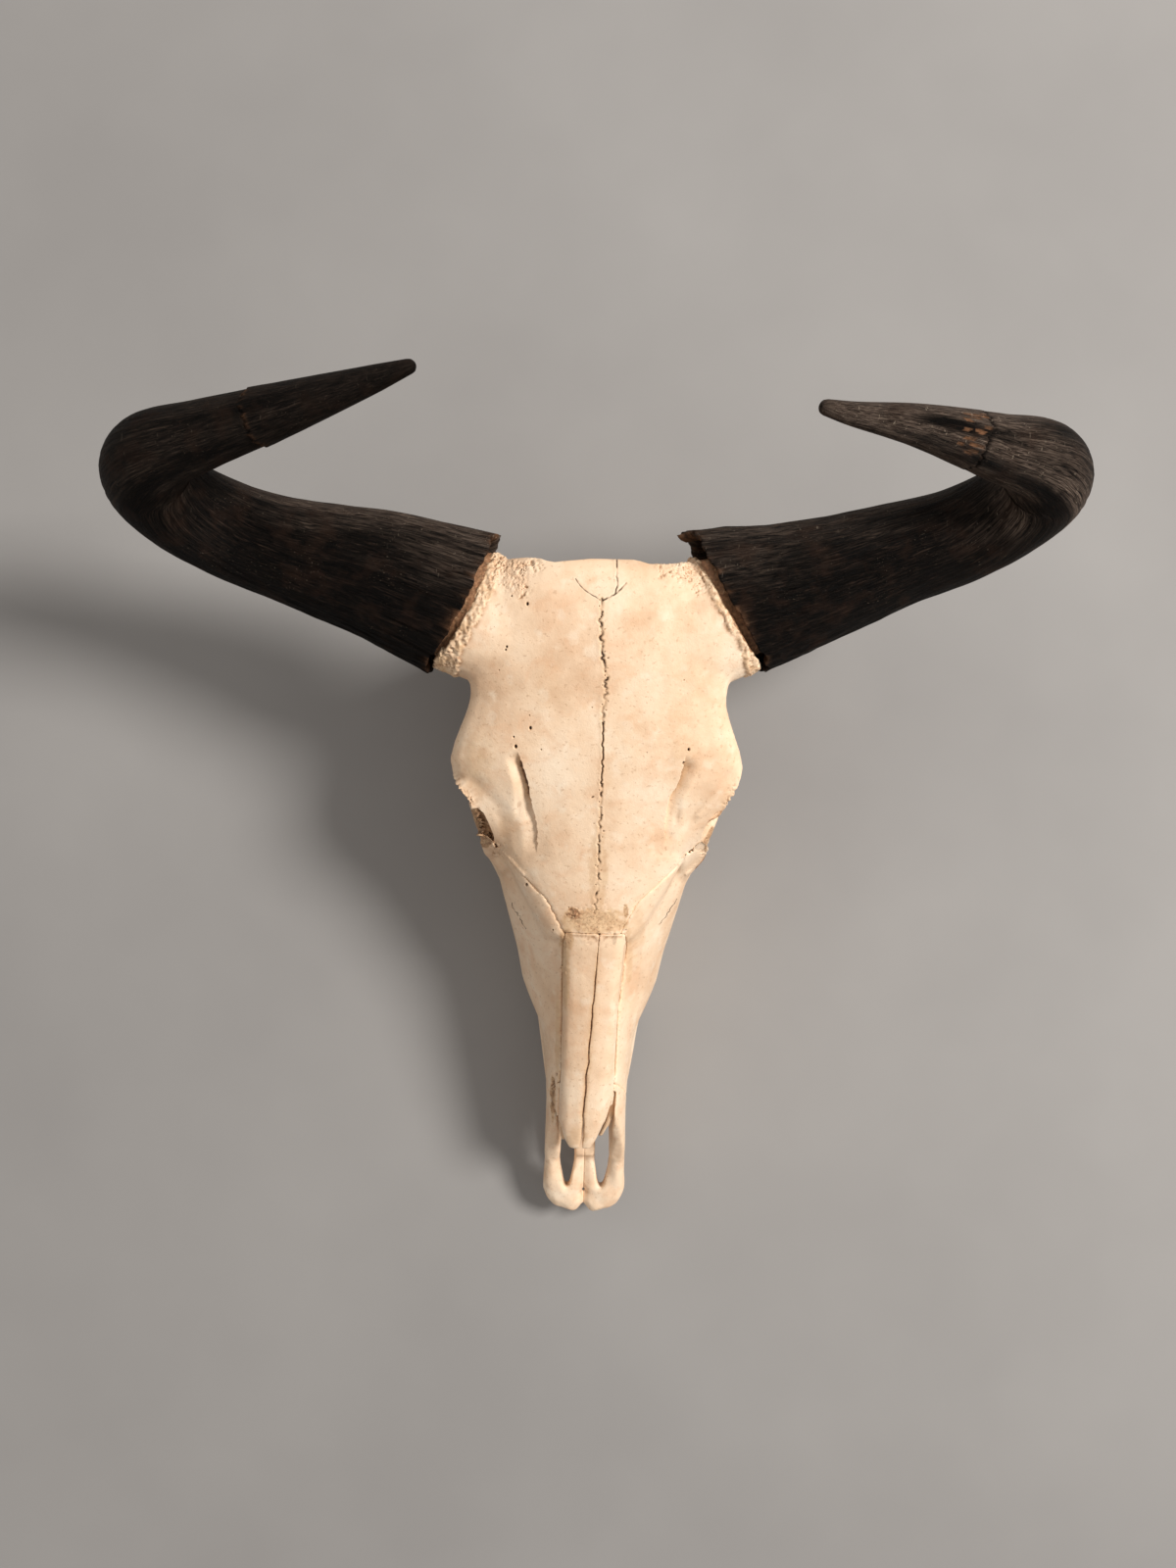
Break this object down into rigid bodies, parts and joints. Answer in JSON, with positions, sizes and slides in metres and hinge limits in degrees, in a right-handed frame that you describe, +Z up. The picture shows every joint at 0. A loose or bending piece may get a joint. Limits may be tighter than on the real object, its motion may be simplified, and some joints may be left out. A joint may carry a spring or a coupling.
{
  "type": "wildebeest skull",
  "caption": "Life-size blue wildebeest skull without its lower jaw, with cheek teeth, slender muzzle bones and dark, hooked horn sheaths on bony cores.",
  "frame": {"origin": "on the floor, under the middle of the skull's footprint", "axes": "+Z up, the nose points to -Y, the animal's left side is at +X"},
  "size_m": [0.5824, 0.5308, 0.2901],
  "materials": {
    "bone": "matte",
    "horn": "rough, fibrous"
  },
  "bodies": {
    "root": {"cranium": "bone", "maxilla_left": "bone", "maxilla_right": "bone", "nasal_left": "bone", "nasal_right": "bone", "premaxilla_left": "bone", "premaxilla_right": "bone", "horn_left": "horn", "horn_right": "horn"}
  },
  "joints": []
}
